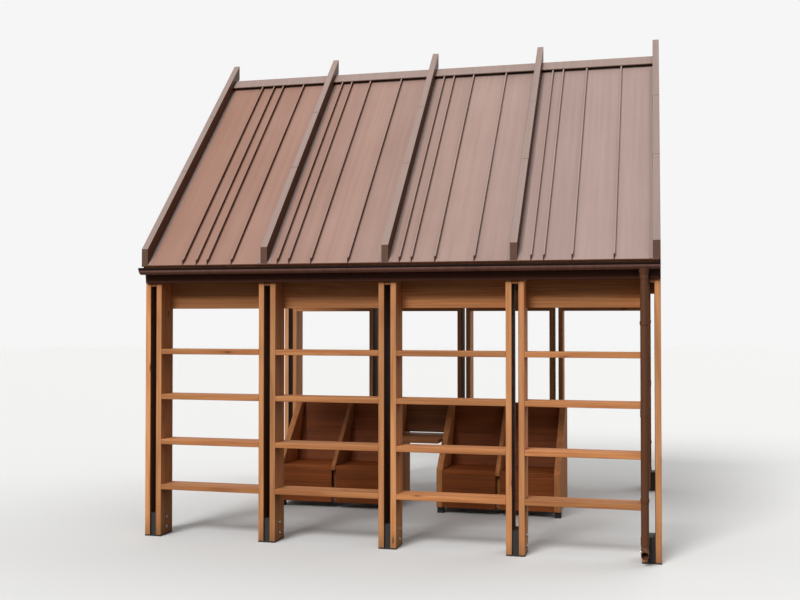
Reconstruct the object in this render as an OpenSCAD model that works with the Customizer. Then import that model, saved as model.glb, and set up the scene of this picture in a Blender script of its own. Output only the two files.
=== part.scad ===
// Roadside waiting shelter: an open timber hall of five twin-plank frames under a
// steep metal roof, with shelf-like rails across the road side and benches inside.
// Millimetres. X runs along the road, Y from the road to the back, Z up.
// The origin is at ground level under the middle of the building.

/* [Frames] */
// Distance between the centre lines of neighbouring frames
frame_pitch = 1050; // [900:10:1300]
// Depth of the building over the outer faces of the posts
frame_depth = 3660; // [3000:20:4200]
// Height of the outer knee, where a post meets its rafter
knee_z = 2190; // [2000:10:2500]
// Slope of the roof in degrees
roof_pitch = 46; // [38:1:50]
// Thickness of one plank of a twin frame
plank_t = 50; // [40:1:65]
// Width of the planks of posts and rafters
plank_w = 220; // [180:5:260]
// Clear gap between the two planks of a frame
plank_gap = 50; // [30:1:70]

/* [Blocks and feet] */
// How far the knee block shows below the knee
knee_block_drop = 30; // [15:1:60]
// Reach of the ridge block to each side of the ridge
ridge_block_reach = 150; // [100:5:200]
// Thickness of the steel plate under each post
foot_plate_t = 10; // [6:1:16]
// Height of the steel tongue between the planks
foot_tongue_h = 200; // [150:5:260]
// Distance of the tongue from the edges of the post
foot_tongue_inset = 15; // [8:1:40]

/* [Rails and headers] */
// Height of the top face of the lowest rail
rail_first_z = 450; // [380:5:500]
// Distance from rail to rail
rail_pitch = 390; // [340:5:400]
// Number of rails in a bay
rail_count = 4; // [2:1:4]
// Thickness of a rail
rail_t = 45; // [30:1:60]
// Depth of a rail from front to back
rail_w = 200; // [120:5:220]
// Height of the lower edge of the header boards
header_z = 1970; // [1930:5:2010]
// Height of a header board
header_h = 240; // [180:5:260]
// Thickness of a header board
header_t = 45; // [30:1:60]

/* [Roof layers] */
// Height of a purlin, square to the slope
purlin_h = 130; // [100:5:150]
// Width of a purlin along the slope
purlin_w = 60; // [45:1:80]
// Number of purlins on each slope
purlin_count = 5; // [4:1:6]
// Thickness of the roof boards
deck_t = 25; // [18:1:35]
// Width of the slot that the roof boards leave open along the ridge
deck_slot_w = 20; // [10:1:40]
// Thickness of the metal sheet
sheet_t = 8; // [4:1:12]
// Reach of the sheet past the posts at the eaves
eave_reach = 80; // [65:1:100]
// How far the roof boards stay back from the sheet's edge
deck_setback = 12; // [5:1:25]
// Thickness of the eaves boards
fascia_t = 25; // [18:1:35]
// Thickness of the metal plate that closes the roof edge at a gable
verge_t = 12; // [6:1:20]

/* [Seams, ribs and ridge] */
// Width of a standing seam
seam_w = 9; // [6:1:14]
// Height of a standing seam
seam_h = 30; // [20:1:40]
// Width of a roof rib
rib_w = 58; // [45:1:75]
// Height of a roof rib, square to the slope
rib_h = 98; // [70:1:120]
// Reach of the ribs past the posts at the eaves
rib_eave_reach = 60; // [0:5:64]
// Reach of the road-side ribs past the ridge
rib_cross_w = 85; // [70:5:120]
// Width of the ridge cap on each side, measured level
cap_reach = 85; // [60:1:110]
// Thickness of the ridge cap
cap_t = 6; // [3:1:10]

/* [Rainwater] */
// Outer radius of the half-round gutter
gutter_r = 58; // [50:1:65]
// Wall thickness of the gutter
gutter_t = 5; // [3:1:7]
// Height of the gutter's rim
gutter_z = 2318; // [2300:1:2330]
// Outer radius of the downpipe
pipe_r = 30; // [26:1:36]
// Wall thickness of the downpipe
pipe_t = 3; // [2:1:5]
// Height of the shoe's lower edge over the ground
pipe_clear = 60; // [20:1:120]
// Radius of the bend in the shoe
shoe_bend_r = 60; // [50:1:90]
// Height of the middle of the lower pipe clip
clip_low_z = 500; // [350:10:700]
// Height of the middle of the upper pipe clip
clip_high_z = 1850; // [1500:10:2000]
// Height of a pipe clip
clip_h = 30; // [20:1:40]
// Wall thickness of a pipe clip
clip_t = 4; // [2:1:6]

/* [Benches] */
// Length of one bench over its end panels
bench_l = 1190; // [1100:10:1300]
// Clear gap between the two benches
bench_gap = 450; // [350:10:500]
// Place of the gap's middle, counted from the middle of the building
bench_mid_x = -155; // [-200:5:200]
// Distance of the bench fronts from the outer face of the front posts
bench_front = 1600; // [1300:10:1800]
// Depth of an end panel from front to back
panel_d = 790; // [740:10:850]
// Height of an end panel's top edge
panel_z = 1040; // [950:10:1150]
// Width of an end panel's top edge
panel_top_w = 150; // [90:5:200]
// Thickness of an end panel
panel_t = 60; // [40:1:70]
// Thickness of the divider between two seats
divider_t = 40; // [30:1:60]
// How far a divider stays back under the seat
divider_setback = 60; // [45:1:90]
// Height of the seat
seat_z = 420; // [380:5:480]
// Depth of the seat from its front edge to the back board
seat_d = 440; // [400:5:480]
// Thickness of the seat, back and front boards
bench_t = 40; // [30:1:50]
// How far the boards stay inside the outline of the end panels
board_inset = 10; // [5:1:20]
// How far the back leans over its height
back_lean_d = 240; // [180:5:260]
// Height of the bench bottom over the ground
bench_clear = 60; // [30:1:80]
// Height of the small table between the benches
table_z = 700; // [660:5:760]
// Depth of the small table
table_d = 600; // [500:10:640]
// How far the table stays back from the bench fronts
table_inset = 100; // [60:5:140]
// Gap between the table and the board behind it
table_slot_h = 20; // [10:1:40]

/* [Hidden] */
$fn = 32;
bay_count = 4;
front = -1;
rear = 1;
half_depth = frame_depth / 2;
frame_t = 2 * plank_t + plank_gap;
half_length = bay_count * frame_pitch / 2 + frame_t / 2;
bay_clear = frame_pitch - frame_t;
knee_in_z = knee_z + plank_w * tan(roof_pitch) - plank_w / cos(roof_pitch);
deck_base = purlin_h;
sheet_base = purlin_h + deck_t;
sheet_top = sheet_base + sheet_t;
sheet_half = half_length - verge_t;
slope_l = half_depth / cos(roof_pitch);
purlin_clear = 5;
purlin_low = purlin_h * tan(roof_pitch) + purlin_clear;
purlin_end = 45;
purlin_step = (slope_l - purlin_low - purlin_end - purlin_w) / (purlin_count - 1);
seam_parts = [0.115, 0.21, 0.395, 0.7];
first_bay_seam_parts = [0.295, 0.415, 0.51, 0.72];
last_bay_seam_parts = [0.13, 0.225, 0.435, 0.74];
gutter_y = half_depth + fascia_t + gutter_r;
gutter_in_r = gutter_r - gutter_t;
pipe_x = bay_count * frame_pitch / 2 - frame_t / 2 + plank_t / 2;
pipe_top_z = gutter_z - sqrt(gutter_in_r * gutter_in_r - pipe_r * pipe_r);
shoe_z = pipe_clear + pipe_r;
clip_arm_w = 16;
bench_y = bench_front - half_depth;
seat_bays = 2;
seat_l = (bench_l - 2 * panel_t - divider_t) / seat_bays;
board_base_z = seat_z - bench_t;
back_z = panel_z - board_inset;
foot_inset = 40;
bench_foot_l = 80;
cut = 1;

timber = [0.72, 0.42, 0.22];
timber_side = [0.62, 0.34, 0.16];
bench_timber = [0.45, 0.22, 0.11];
roof_metal = [0.55, 0.44, 0.40];
edge_metal = [0.33, 0.22, 0.19];
rain_metal = [0.42, 0.30, 0.28];
foot_metal = [0.10, 0.10, 0.10];

// Centre line of frame n, counted from 1 at the left end
function frame_x(n) = (n - 1 - bay_count / 2) * frame_pitch;

// Height above ground of a plane that lies d outside the rafters, at a distance y from the middle
function slope_z(y, d) = knee_z + (half_depth - abs(y)) * tan(roof_pitch) + d / cos(roof_pitch);

// Left side of the rib over frame n: those of the end frames are flush with the gables
function rib_left(n) = n == 1 ? -half_length
    : n == bay_count + 1 ? half_length - rib_w
    : frame_x(n) - rib_w / 2;

// Places of the seams across bay n, as parts of the distance between the frames
function bay_seam_parts(n) = n == 1 ? first_bay_seam_parts
    : n == bay_count ? last_bay_seam_parts
    : seam_parts;

// Left side of seam k in bay n
function seam_x(n, k) = frame_x(n) - seam_w / 2 + frame_pitch * bay_seam_parts(n)[k];

// Left side of seat k of a bench, counted from 0
function seat_x(k) = panel_t + k * (seat_l + divider_t);

// Front face of the leaning back at height z, counted from the bench front
function back_y(z) = seat_d + back_lean_d * (z - seat_z) / (back_z - seat_z);

// Extrudes a profile, drawn with y and z, between two places along X
module along_x(from, to) {
    translate([from, 0, 0])
        rotate([90, 0, 90])
            linear_extrude(to - from)
                children();
}

// Turns what is drawn for the road side to the given side
module on_side(side) {
    mirror([0, side == rear ? 1 : 0, 0])
        children();
}

// The two planks of frame n, with the profile as children
module twin_planks(n) {
    along_x(frame_x(n) - frame_t / 2, frame_x(n) - plank_gap / 2)
        children();
    along_x(frame_x(n) + plank_gap / 2, frame_x(n) + frame_t / 2)
        children();
}

// Profile of a layer on the road-side slope, cut upright at both ends
module slope_layer(reach, low, high, ridge_y = 0) {
    polygon([
        [-half_depth - reach, slope_z(half_depth + reach, low)],
        [-ridge_y, slope_z(ridge_y, low)],
        [-ridge_y, slope_z(ridge_y, high)],
        [-half_depth - reach, slope_z(half_depth + reach, high)]
    ]);
}

module post(n, side) {
    color(timber)
        on_side(side)
            twin_planks(n)
                polygon([
                    [-half_depth, foot_plate_t],
                    [-half_depth + plank_w, foot_plate_t],
                    [-half_depth + plank_w, knee_in_z],
                    [-half_depth, knee_z]
                ]);
}

module rafter(n, side) {
    color(timber)
        on_side(side)
            twin_planks(n)
                polygon([
                    [-half_depth, knee_z],
                    [-half_depth + plank_w, knee_in_z],
                    [0, slope_z(0, -plank_w)],
                    [0, slope_z(0, 0)]
                ]);
}

// Block that fills the gap between the planks at a knee
module knee_block(n) {
    low_z = knee_z - knee_block_drop;
    inner_y = half_depth - (plank_w / cos(roof_pitch) - knee_block_drop) / tan(roof_pitch);
    along_x(frame_x(n) - plank_gap / 2, frame_x(n) + plank_gap / 2)
        polygon([
            [-half_depth, low_z],
            [-inner_y, low_z],
            [-inner_y, slope_z(inner_y, 0)],
            [-half_depth, knee_z]
        ]);
}

// Block that fills the gap between the planks at the ridge
module ridge_block(n) {
    low_z = slope_z(0, -plank_w);
    along_x(frame_x(n) - plank_gap / 2, frame_x(n) + plank_gap / 2)
        polygon([
            [-ridge_block_reach, low_z],
            [ridge_block_reach, low_z],
            [ridge_block_reach, slope_z(ridge_block_reach, 0)],
            [0, slope_z(0, 0)],
            [-ridge_block_reach, slope_z(ridge_block_reach, 0)]
        ]);
}

module spacer_blocks() {
    color(timber_side)
        for (n = [1 : bay_count + 1]) {
            for (side = [front, rear])
                on_side(side)
                    knee_block(n);
            ridge_block(n);
        }
}

// Steel plate under a post with a tongue between its planks
module post_foot(n) {
    translate([frame_x(n) - frame_t / 2, -half_depth, 0])
        cube([frame_t, plank_w, foot_plate_t]);
    translate([frame_x(n) - plank_gap / 2, -half_depth + foot_tongue_inset, 0])
        cube([plank_gap, plank_w - 2 * foot_tongue_inset, foot_tongue_h]);
}

module post_feet() {
    color(foot_metal)
        for (n = [1 : bay_count + 1])
            for (side = [front, rear])
                on_side(side)
                    post_foot(n);
}

module rails(bay) {
    color(timber)
        for (k = [0 : rail_count - 1])
            translate([frame_x(bay) + frame_t / 2, -half_depth, rail_first_z + k * rail_pitch - rail_t])
                cube([bay_clear, rail_w, rail_t]);
}

// Boards on edge between the frames, at the inner edges of the posts
module headers() {
    color(timber_side)
        for (side = [front, rear])
            on_side(side)
                for (bay = [1 : bay_count])
                    translate([frame_x(bay) + frame_t / 2, -half_depth + plank_w - header_t, header_z])
                        cube([bay_clear, header_t, header_h]);
}

module purlins() {
    color(timber_side)
        for (side = [front, rear])
            on_side(side)
                along_x(-sheet_half, sheet_half)
                    for (k = [0 : purlin_count - 1])
                        translate([-half_depth, knee_z])
                            rotate(roof_pitch)
                                translate([purlin_low + k * purlin_step, 0])
                                    square([purlin_w, purlin_h]);
}

// Boards on the purlins, with an open slot along the ridge
module roof_boards() {
    color(timber_side)
        for (side = [front, rear])
            on_side(side)
                along_x(-sheet_half, sheet_half)
                    slope_layer(eave_reach - deck_setback, deck_base, sheet_base, deck_slot_w / 2);
}

// Standing seams of one bay
module seams(bay) {
    for (k = [0 : len(seam_parts) - 1])
        along_x(seam_x(bay, k), seam_x(bay, k) + seam_w)
            slope_layer(eave_reach, sheet_base, sheet_top + seam_h);
}

module roof_sheet(side) {
    color(roof_metal)
        on_side(side) {
            along_x(-sheet_half, sheet_half)
                slope_layer(eave_reach, sheet_base, sheet_top);
            for (bay = [1 : bay_count])
                seams(bay);
        }
}

// Profile of a rib that runs up the road-side slope and past the ridge
module rib_profile() {
    low_y = half_depth + rib_eave_reach;
    past_z = slope_z(0, sheet_top) + rib_cross_w * tan(roof_pitch);
    polygon([
        [-low_y, slope_z(low_y, sheet_top)],
        [rib_cross_w, past_z],
        [rib_cross_w, past_z + rib_h / cos(roof_pitch)],
        [-low_y, slope_z(low_y, sheet_top + rib_h)]
    ]);
}

// Profile of a rib on the other slope, which ends under the tip of the one above
module cut_rib_profile() {
    low_y = half_depth + rib_eave_reach;
    meet_y = rib_h / (2 * sin(roof_pitch));
    polygon([
        [-low_y, slope_z(low_y, sheet_top)],
        [0, slope_z(0, sheet_top)],
        [-meet_y, slope_z(meet_y, sheet_top + rib_h)],
        [-low_y, slope_z(low_y, sheet_top + rib_h)]
    ]);
}

module front_ribs() {
    color(roof_metal)
        for (n = [1 : bay_count + 1])
            along_x(rib_left(n), rib_left(n) + rib_w)
                rib_profile();
}

module rear_ribs() {
    color(roof_metal)
        on_side(rear)
            for (n = [1 : bay_count + 1])
                along_x(rib_left(n), rib_left(n) + rib_w)
                    cut_rib_profile();
}

// Bent cap over the ridge, in one length per bay, resting on the seams
module ridge_cap() {
    low = sheet_top + seam_h;
    color(roof_metal)
        for (bay = [1 : bay_count])
            along_x(rib_left(bay) + rib_w, rib_left(bay + 1))
                polygon([
                    [-cap_reach, slope_z(cap_reach, low)],
                    [0, slope_z(0, low)],
                    [cap_reach, slope_z(cap_reach, low)],
                    [cap_reach, slope_z(cap_reach, low + cap_t)],
                    [0, slope_z(0, low + cap_t)],
                    [-cap_reach, slope_z(cap_reach, low + cap_t)]
                ]);
}

module fascias() {
    color(edge_metal)
        for (side = [front, rear])
            on_side(side)
                along_x(-sheet_half, sheet_half)
                    polygon([
                        [-half_depth - fascia_t, knee_z],
                        [-half_depth, knee_z],
                        [-half_depth, slope_z(half_depth, deck_base)],
                        [-half_depth - fascia_t, slope_z(half_depth + fascia_t, deck_base)]
                    ]);
}

// Plates over the ends of purlins, boards and sheet at the gables
module verges(side) {
    low_y = half_depth + fascia_t;
    color(edge_metal)
        on_side(side)
            for (end = [0, 1])
                mirror([end, 0, 0])
                    along_x(sheet_half, half_length)
                        polygon([
                            [-half_depth, knee_z],
                            [0, slope_z(0, 0)],
                            [0, slope_z(0, sheet_top)],
                            [-half_depth - eave_reach, slope_z(half_depth + eave_reach, sheet_top)],
                            [-half_depth - eave_reach, slope_z(half_depth + eave_reach, sheet_base)],
                            [-low_y, slope_z(low_y, deck_base)]
                        ]);
}

// Half-round channel with closed ends and an outlet for the downpipe
module gutter() {
    difference() {
        translate([-half_length, -gutter_y, gutter_z])
            rotate([0, 90, 0])
                cylinder(r = gutter_r, h = 2 * half_length);
        translate([-half_length + gutter_t, -gutter_y, gutter_z])
            rotate([0, 90, 0])
                cylinder(r = gutter_in_r, h = 2 * (half_length - gutter_t));
        translate([-half_length - cut, -gutter_y - gutter_r - cut, gutter_z])
            cube([2 * (half_length + cut), 2 * (gutter_r + cut), gutter_r + cut]);
        translate([pipe_x, -gutter_y, gutter_z - gutter_r - cut])
            cylinder(r = pipe_r, h = gutter_r);
    }
}

module gutters() {
    color(rain_metal)
        for (side = [front, rear])
            on_side(side)
                gutter();
}

module ring(outer, inner) {
    difference() {
        circle(r = outer);
        circle(r = inner);
    }
}

// Clip around the pipe with an arm to the post behind it
module pipe_clip(z) {
    wall_y = pipe_r - pipe_t / 2;
    translate([pipe_x, -gutter_y, z - clip_h / 2]) {
        linear_extrude(clip_h)
            ring(pipe_r + clip_t, wall_y);
        translate([-clip_arm_w / 2, wall_y, 0])
            cube([clip_arm_w, gutter_y - half_depth - wall_y, clip_h]);
    }
}

// Round pipe from the gutter down to a shoe that turns away from the post
module downpipe() {
    drop_z = shoe_z + shoe_bend_r;
    translate([pipe_x, -gutter_y, drop_z])
        linear_extrude(pipe_top_z - drop_z)
            ring(pipe_r, pipe_r - pipe_t);
    translate([pipe_x, -gutter_y - shoe_bend_r, drop_z])
        rotate([0, 90, 0])
            rotate_extrude(angle = 90)
                translate([shoe_bend_r, 0])
                    ring(pipe_r, pipe_r - pipe_t);
    pipe_clip(clip_low_z);
    pipe_clip(clip_high_z);
}

module downpipes() {
    color(rain_metal)
        for (side = [front, rear])
            on_side(side)
                downpipe();
}

// Puts children at both benches: the left one is the mirror image of the right
module each_bench() {
    translate([bench_mid_x, bench_y, 0])
        for (end = [0, 1])
            mirror([end, 0, 0])
                translate([bench_gap / 2, 0, 0])
                    children();
}

// One board per seat, with the profile as children
module seat_boards() {
    each_bench()
        for (k = [0 : seat_bays - 1])
            along_x(seat_x(k), seat_x(k) + seat_l)
                children();
}

// Upright boards under the seats, front and back
module bench_panels() {
    color(bench_timber)
        for (y = [board_inset, seat_d])
            seat_boards()
                translate([y, bench_clear])
                    square([bench_t, board_base_z - bench_clear]);
}

module bench_seats() {
    color(bench_timber)
        seat_boards()
            translate([board_inset, board_base_z])
                square([seat_d + bench_t - board_inset, bench_t]);
}

// Profile of the leaning back between two heights
module back_profile(low, high) {
    polygon([
        [back_y(low), low],
        [back_y(low) + bench_t, low],
        [back_y(high) + bench_t, high],
        [back_y(high), high]
    ]);
}

module bench_backs() {
    color(bench_timber)
        seat_boards()
            back_profile(seat_z, back_z);
}

// Outline of a side panel: upright to the seat, then sloping back to the top
module panel_profile(setback) {
    polygon([
        [setback, bench_clear],
        [panel_d, bench_clear],
        [panel_d, panel_z],
        [panel_d - panel_top_w, panel_z],
        [0, seat_z],
        [0, board_base_z],
        [setback, board_base_z]
    ]);
}

// End panels and the divider between the two seats of each bench
module bench_sides() {
    color(timber)
        each_bench() {
            for (x = [0, bench_l - panel_t])
                along_x(x, x + panel_t)
                    panel_profile(0);
            along_x(seat_x(0) + seat_l, seat_x(1))
                panel_profile(divider_setback);
        }
}

// Short steel feet under the end panels
module bench_feet() {
    color(foot_metal)
        each_bench()
            for (x = [0, bench_l - panel_t])
                for (y = [foot_inset, panel_d - foot_inset - bench_foot_l])
                    translate([x, y, 0])
                        cube([panel_t, bench_foot_l, bench_clear]);
}

// Small table between the benches and the board behind it, in line with the backs
module bench_table() {
    color(bench_timber)
        translate([bench_mid_x, bench_y, 0]) {
            translate([-bench_gap / 2, table_inset, table_z - bench_t])
                cube([bench_gap, table_d, bench_t]);
            along_x(-bench_gap / 2, bench_gap / 2)
                back_profile(table_z + table_slot_h, back_z);
        }
}

post(1, front);  // front_post_1
post(2, front);  // front_post_2
post(3, front);  // front_post_3
post(4, front);  // front_post_4
post(5, front);  // front_post_5
post(1, rear);  // rear_post_1
post(2, rear);  // rear_post_2
post(3, rear);  // rear_post_3
post(4, rear);  // rear_post_4
post(5, rear);  // rear_post_5
rafter(1, front);  // front_rafter_1
rafter(2, front);  // front_rafter_2
rafter(3, front);  // front_rafter_3
rafter(4, front);  // front_rafter_4
rafter(5, front);  // front_rafter_5
rafter(1, rear);  // rear_rafter_1
rafter(2, rear);  // rear_rafter_2
rafter(3, rear);  // rear_rafter_3
rafter(4, rear);  // rear_rafter_4
rafter(5, rear);  // rear_rafter_5
spacer_blocks();
post_feet();
rails(1);  // rails_bay_1
rails(2);  // rails_bay_2
rails(3);  // rails_bay_3
rails(4);  // rails_bay_4
headers();
purlins();
roof_boards();
roof_sheet(front);  // front_sheet
roof_sheet(rear);  // rear_sheet
ridge_cap();
front_ribs();
rear_ribs();
fascias();
verges(front);  // front_verges
verges(rear);  // rear_verges
gutters();
downpipes();
bench_panels();
bench_seats();
bench_backs();
bench_sides();
bench_feet();
bench_table();
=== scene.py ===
"""Finishes an open timber waiting shelter: eased planks with grain, roof boards, folded roof
metal with seams and ribs, gutters with brackets, bolts, benches and a plain stage."""

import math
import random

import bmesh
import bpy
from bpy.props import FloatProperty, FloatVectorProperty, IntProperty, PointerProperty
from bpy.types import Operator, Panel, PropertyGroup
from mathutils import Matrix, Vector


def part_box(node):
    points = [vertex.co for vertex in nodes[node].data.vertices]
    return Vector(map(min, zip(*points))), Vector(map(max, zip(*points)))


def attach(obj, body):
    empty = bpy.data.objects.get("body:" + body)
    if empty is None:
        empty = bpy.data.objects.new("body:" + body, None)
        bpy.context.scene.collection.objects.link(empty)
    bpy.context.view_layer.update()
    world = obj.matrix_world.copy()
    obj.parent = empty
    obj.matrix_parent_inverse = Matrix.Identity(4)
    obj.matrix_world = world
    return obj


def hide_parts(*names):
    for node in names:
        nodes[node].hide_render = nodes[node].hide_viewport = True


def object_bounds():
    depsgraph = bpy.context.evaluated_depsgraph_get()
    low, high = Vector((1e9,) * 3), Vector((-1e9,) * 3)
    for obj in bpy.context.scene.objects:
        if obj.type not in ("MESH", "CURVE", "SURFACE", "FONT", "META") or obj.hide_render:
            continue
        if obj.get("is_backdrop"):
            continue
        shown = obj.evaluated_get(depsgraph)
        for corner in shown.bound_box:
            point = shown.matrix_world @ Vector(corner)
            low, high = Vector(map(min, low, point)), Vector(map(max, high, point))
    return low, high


bl_info = {
    "name": "Roadside waiting shelter",
    "version": (1, 0, 0),
    "blender": (4, 5, 0),
    "location": "View3D > Sidebar > Shelter",
    "description": "Builds the finish of a timber waiting shelter around its packed frame",
    "category": "Object",
}

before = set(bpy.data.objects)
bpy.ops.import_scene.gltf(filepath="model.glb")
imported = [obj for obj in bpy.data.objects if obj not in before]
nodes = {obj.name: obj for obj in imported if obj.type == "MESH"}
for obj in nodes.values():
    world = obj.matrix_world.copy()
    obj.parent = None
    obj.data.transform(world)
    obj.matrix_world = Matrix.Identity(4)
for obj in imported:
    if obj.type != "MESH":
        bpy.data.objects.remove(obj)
frame_low, frame_high = (Vector(corner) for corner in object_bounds())

# Numbers of the frames and the bays from the left, and the sign of Y on each side
FRAME_NUMBERS = range(1, 6)
BAY_NUMBERS = range(1, 5)
SIDES = {"front": -1, "rear": 1}

# Driving dimensions of the building, in metres, read from the frame
POST_LOW, POST_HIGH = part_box("front_post_1")
HALF_DEPTH = -POST_LOW.y
KNEE_Z = POST_HIGH.z
RAFTER_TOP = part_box("front_rafter_1")[1].z
PITCH = math.atan((RAFTER_TOP - KNEE_Z) / HALF_DEPTH)
HALF_LENGTH = -POST_LOW.x
FRAME_T = POST_HIGH.x - POST_LOW.x
FRAME_PITCH = (2 * HALF_LENGTH - FRAME_T) / (len(FRAME_NUMBERS) - 1)
SHEET_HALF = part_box("front_sheet")[1].x
EAVE_Y = -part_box("front_sheet")[0].y
BOARDS_Y = -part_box("roof_boards")[0].y
GUTTER_LOW, GUTTER_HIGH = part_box("gutters")
GUTTER_R = GUTTER_HIGH.z - GUTTER_LOW.z
GUTTER_Y = -GUTTER_LOW.y - GUTTER_R
PIPE_LOW, PIPE_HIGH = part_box("downpipes")
PIPE_X = (PIPE_LOW.x + PIPE_HIGH.x) / 2

# A length that counts as nothing
TINY = 1e-6

# The painted shadow at the top of each gutter, under the edge of the roof, starts this far down
# from its top
RIM_SHADOW_H = 0.024

# Roof layers, each counted square to the slope from the outer edge of the rafters
BOARD_LOW = 0.130
BOARD_HIGH = 0.155
SHEET_TOP = 0.163
SEAM_TOP = 0.193
RIB_TOP = 0.261
SEAM_W = 0.009
RIB_W = 0.058

# How far the ribs run on, past their solids, to the edge of the sheet
RIB_REACH = 0.019

# Places of the standing seams across each bay, as parts of the distance between two frames
SEAM_PARTS = {
    1: (0.295, 0.415, 0.51, 0.72),
    2: (0.115, 0.21, 0.395, 0.70),
    3: (0.115, 0.21, 0.395, 0.70),
    4: (0.13, 0.225, 0.435, 0.74),
}

# How much painted shade the faces that stand in shade get, as parts of the way to the shade colour
GAP_SHADE = 0.8
BACK_BOARD_SHADE = 0.6
TABLE_SHADE = 0.25
DIVIDER_SHADE = 0.3


def frame_x(number):
    """Centre line of a frame, counted from 1 at the left end."""
    return (number - 1) * FRAME_PITCH - HALF_LENGTH + FRAME_T / 2


def slope_z(y, outside):
    """Height of a plane that lies outside the rafters, at a distance y from the middle."""
    return KNEE_Z + (HALF_DEPTH - abs(y)) * math.tan(PITCH) + outside / math.cos(PITCH)


class TimberSettings(PropertyGroup):
    """Sizes and colours of the timber."""

    arris: FloatProperty(
        name="Arris", description="Width of the eased edges", default=0.004, unit="LENGTH"
    )
    board_w: FloatProperty(
        name="Board width", description="Width of a roof board", default=0.135, unit="LENGTH"
    )
    groove: FloatProperty(
        name="Groove", description="Chamfer along the edges of a roof board",
        default=0.006, unit="LENGTH",
    )
    frame_light: FloatVectorProperty(
        name="Frame, light", description="Early wood of posts and rafters",
        default=(0.72, 0.335, 0.138), subtype="COLOR",
    )
    frame_dark: FloatVectorProperty(
        name="Frame, dark", description="Late wood of posts and rafters",
        default=(0.46, 0.172, 0.061), subtype="COLOR",
    )
    rail_light: FloatVectorProperty(
        name="Rails, light", description="Early wood of rails and headers",
        default=(0.61, 0.265, 0.100), subtype="COLOR",
    )
    rail_dark: FloatVectorProperty(
        name="Rails, dark", description="Late wood of rails and headers",
        default=(0.38, 0.132, 0.045), subtype="COLOR",
    )
    roof_light: FloatVectorProperty(
        name="Roof timber, light", description="Early wood of blocks, purlins and roof boards",
        default=(0.46, 0.175, 0.058), subtype="COLOR",
    )
    roof_dark: FloatVectorProperty(
        name="Roof timber, dark", description="Late wood of blocks, purlins and roof boards",
        default=(0.26, 0.080, 0.024), subtype="COLOR",
    )
    # Painted shade: the seats, backs and fronts take a much darker copy of the panel wood, for the
    # shade under the roof
    bench_shaded_light: FloatVectorProperty(
        name="Bench boards, light", description="Early wood of seats, backs and fronts",
        default=(0.30, 0.078, 0.017), subtype="COLOR",
    )
    bench_shaded_dark: FloatVectorProperty(
        name="Bench boards, dark", description="Late wood of seats, backs and fronts",
        default=(0.155, 0.037, 0.0075), subtype="COLOR",
    )
    panel_light: FloatVectorProperty(
        name="Bench panels, light", description="Early wood of end panels, dividers and the table",
        default=(0.64, 0.260, 0.095), subtype="COLOR",
    )
    panel_dark: FloatVectorProperty(
        name="Bench panels, dark", description="Late wood of end panels, dividers and the table",
        default=(0.39, 0.135, 0.043), subtype="COLOR",
    )
    # Painted shade: the colour towards which faces that stand in shade are darkened
    painted_shade_colour: FloatVectorProperty(
        name="Painted shade", description="Faces that stand in shade, darkened in paint",
        default=(0.040, 0.008, 0.003), subtype="COLOR",
    )
    knot: FloatVectorProperty(
        name="Knot", description="Middle of a knot", default=(0.14, 0.055, 0.025), subtype="COLOR"
    )


class MetalSettings(PropertyGroup):
    """Sizes and colours of the metal."""

    fold: FloatProperty(
        name="Fold", description="Radius of a folded edge", default=0.0015, unit="LENGTH"
    )
    # Painted sky reflection: roof metal that faces the sky is much lighter than its upright faces
    sheet_sky_sheen: FloatVectorProperty(
        name="Sheet, sky sheen", description="Roof metal facing the sky at the right end",
        default=(0.385, 0.276, 0.245), subtype="COLOR",
    )
    # Painted reflection: at the left end the sky's sheen on the roof metal is weaker, so it is
    # warmer and darker
    sheet_left_sheen: FloatVectorProperty(
        name="Sheet, warm", description="Roof metal facing the sky at the left end",
        default=(0.350, 0.187, 0.134), subtype="COLOR",
    )
    # Painted sky reflection: ribs and ridge cap are lighter where they face the sky
    trim_sky_sheen: FloatVectorProperty(
        name="Ribs and cap", description="Ribs and ridge cap where they face the sky",
        default=(0.340, 0.248, 0.216), subtype="COLOR",
    )
    # Painted shade: all upright faces of the roof metal, the sides of ribs and seams and the edges
    # of the sheets, are much darker than the faces that look up
    sheet_shaded_side: FloatVectorProperty(
        name="Sheet, upright", description="Roof metal on upright faces",
        default=(0.090, 0.030, 0.014), subtype="COLOR",
    )
    # Painted light and shade: the ends of the ribs, which face the road or the back, are lighter
    # than the other upright faces
    trim_lit_end: FloatVectorProperty(
        name="Rib ends", description="Ends of the ribs over the eaves",
        default=(0.150, 0.078, 0.053), subtype="COLOR",
    )
    edge: FloatVectorProperty(
        name="Edge metal", description="Plates at the gables and the eaves",
        default=(0.085, 0.030, 0.018), subtype="COLOR",
    )
    gutter: FloatVectorProperty(
        name="Gutter metal", description="Gutters and their brackets",
        default=(0.330, 0.175, 0.140), subtype="COLOR",
    )
    # Painted shadow: a near-black colour for the rolled rims and the top band of the gutters, under
    # the edge of the roof
    rim: FloatVectorProperty(
        name="Gutter rim", description="Rolled rims of the gutters and the metal beside them",
        default=(0.020, 0.009, 0.006), subtype="COLOR",
    )
    rain: FloatVectorProperty(
        name="Pipe metal", description="Downpipes", default=(0.130, 0.052, 0.026), subtype="COLOR"
    )
    foot: FloatVectorProperty(
        name="Foot steel", description="Steel feet",
        default=(0.022, 0.021, 0.020), subtype="COLOR",
    )
    bolt: FloatVectorProperty(
        name="Bolt steel", description="Zinc-plated bolts and screws",
        default=(0.52, 0.51, 0.49), subtype="COLOR",
    )


class FixingSettings(PropertyGroup):
    """Sizes of the fixings."""

    bolt_r: FloatProperty(
        name="Bolt head", description="Radius of a bolt's head", default=0.011, unit="LENGTH"
    )
    washer_r: FloatProperty(
        name="Washer", description="Radius of a washer", default=0.018, unit="LENGTH"
    )
    bracket_count: IntProperty(
        name="Brackets", description="Gutter brackets on one side", default=7, min=2
    )
    bead_r: FloatProperty(
        name="Bead", description="Radius of the rolled rim of the gutter",
        default=0.008, unit="LENGTH",
    )


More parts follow.
